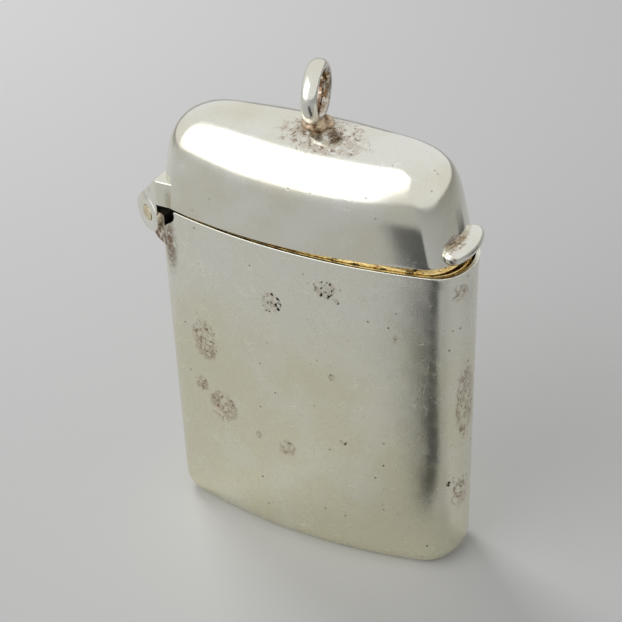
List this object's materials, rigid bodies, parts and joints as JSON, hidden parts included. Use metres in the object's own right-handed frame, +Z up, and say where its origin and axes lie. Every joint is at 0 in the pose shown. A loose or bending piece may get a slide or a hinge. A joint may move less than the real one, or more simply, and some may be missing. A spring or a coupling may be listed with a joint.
{
  "type": "vesta case",
  "caption": "Pocket match case: flat rounded silver box with a domed lid hinged at one end, a thumb bar at the other, a hanging ring on top and a ribbed striker recessed in its base.",
  "frame": {"origin": "middle of the part's overall length and depth, hinge and thumb piece included, on the plane that its base stands on", "axes": "+Z up through the lid, -X towards the hinge, +X towards the thumb piece, -Y the front wide face"},
  "size_m": [0.0362, 0.0116, 0.0517],
  "materials": {
    "silver": "worn polished silver with tarnish",
    "gilt": "gilding rubbed and grimy",
    "pin_brass": "dull",
    "spring_steel": "blued and dull",
    "solder": "rough"
  },
  "bodies": {
    "case": {"body_shell": "silver", "striker_plate": "silver", "mouth_flange": "gilt", "body_hinge_bearer": "silver", "body_knuckle_front": "silver", "body_knuckle_rear": "silver", "hinge_pin": "pin_brass", "lid_spring": "spring_steel", "spring_block": "silver", "spring_rivets": "silver"},
    "lid": {"lid_shell": "silver", "lid_hinge_bearer": "silver", "lid_knuckle": "silver", "lid_kicker": "silver", "thumb_piece": "silver", "hanging_ring": "silver", "ring_seat": "solder"}
  },
  "joints": [
    {"name": "lid_hinge", "type": "hinge", "parent": "case", "child": "lid", "pos_m": [-0.01618, 0, 0.03255], "axis": [0, -1, 0], "range_deg": [-1.45, 95]}
  ]
}
